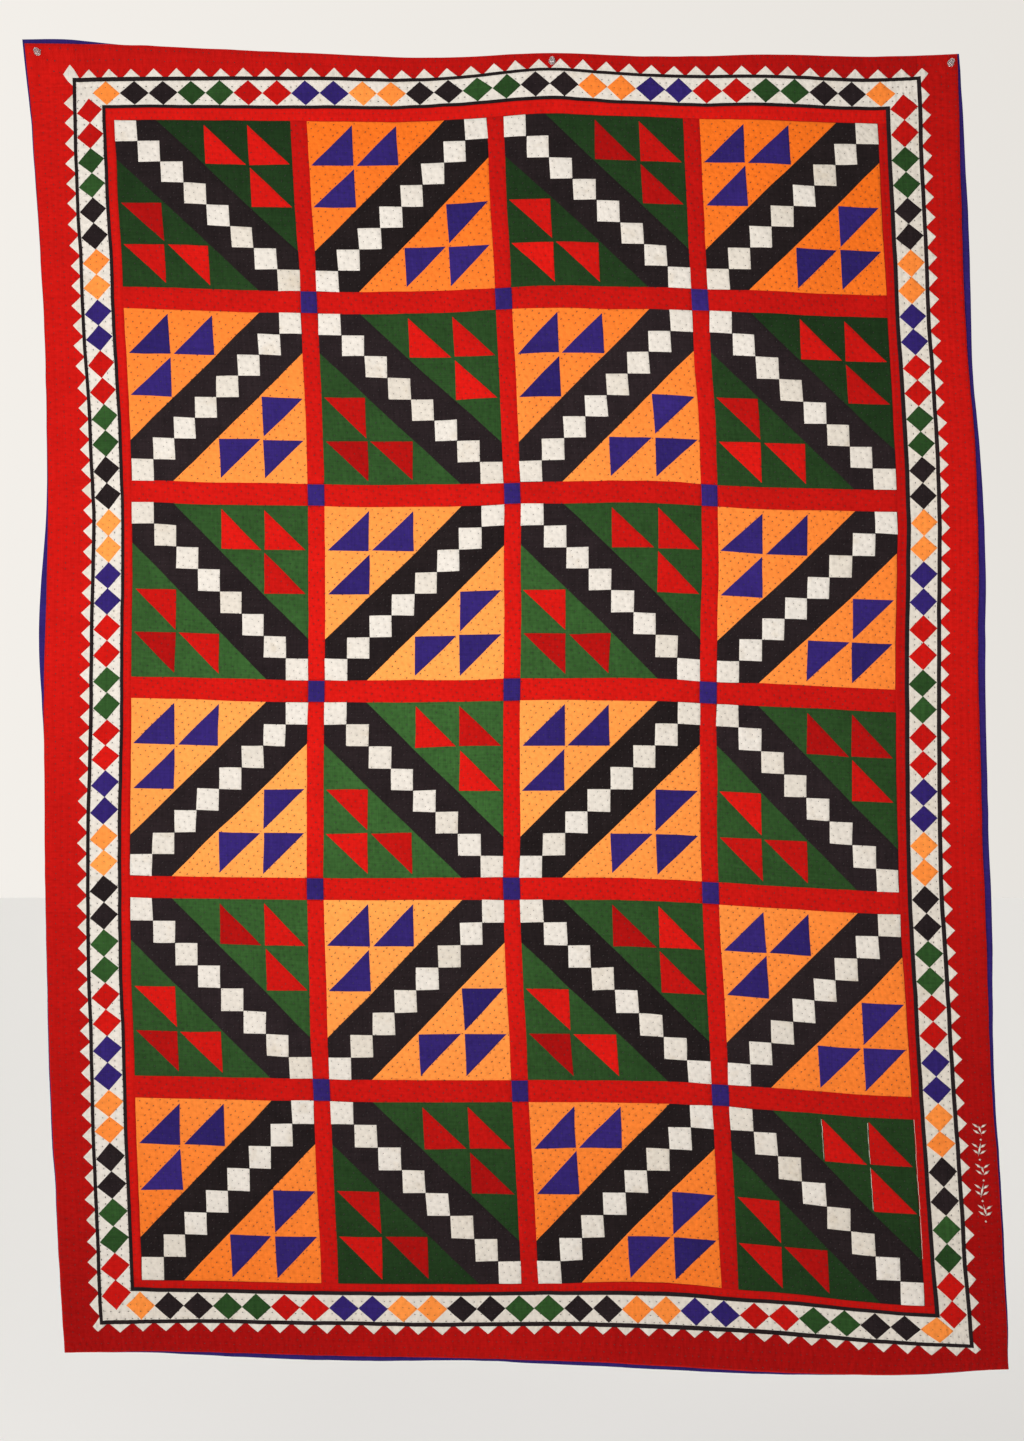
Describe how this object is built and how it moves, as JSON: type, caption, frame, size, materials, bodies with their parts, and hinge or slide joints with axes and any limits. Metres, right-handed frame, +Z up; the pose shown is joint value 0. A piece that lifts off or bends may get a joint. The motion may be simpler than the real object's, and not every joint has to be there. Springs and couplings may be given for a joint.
{
  "type": "ralli quilt with push pins",
  "caption": "Flat patchwork quilt with a lighter violet backing, hung straight against a wall by clear push pins along its top edge.",
  "frame": {"origin": "the point where the middle push pin enters the wall plane", "axes": "+Z up along the hanging quilt, +Y into the wall, -Y towards the viewer, +X to the viewer's right"},
  "size_m": [1.4251, 0.0242, 1.9303],
  "materials": {
    "red_cotton": "matt plain-weave cotton, quilted",
    "blue_violet_cotton": "matt plain-weave cotton",
    "clear_plastic": "clear moulded plastic, glossy",
    "pin_steel": "bright steel"
  },
  "bodies": {
    "root": {"quilt_top": "red_cotton", "backing_cloth": "blue_violet_cotton", "pin_left_head": "clear_plastic", "pin_left_point": "pin_steel", "pin_middle_head": "clear_plastic", "pin_middle_point": "pin_steel", "pin_right_head": "clear_plastic", "pin_right_point": "pin_steel"}
  },
  "joints": []
}
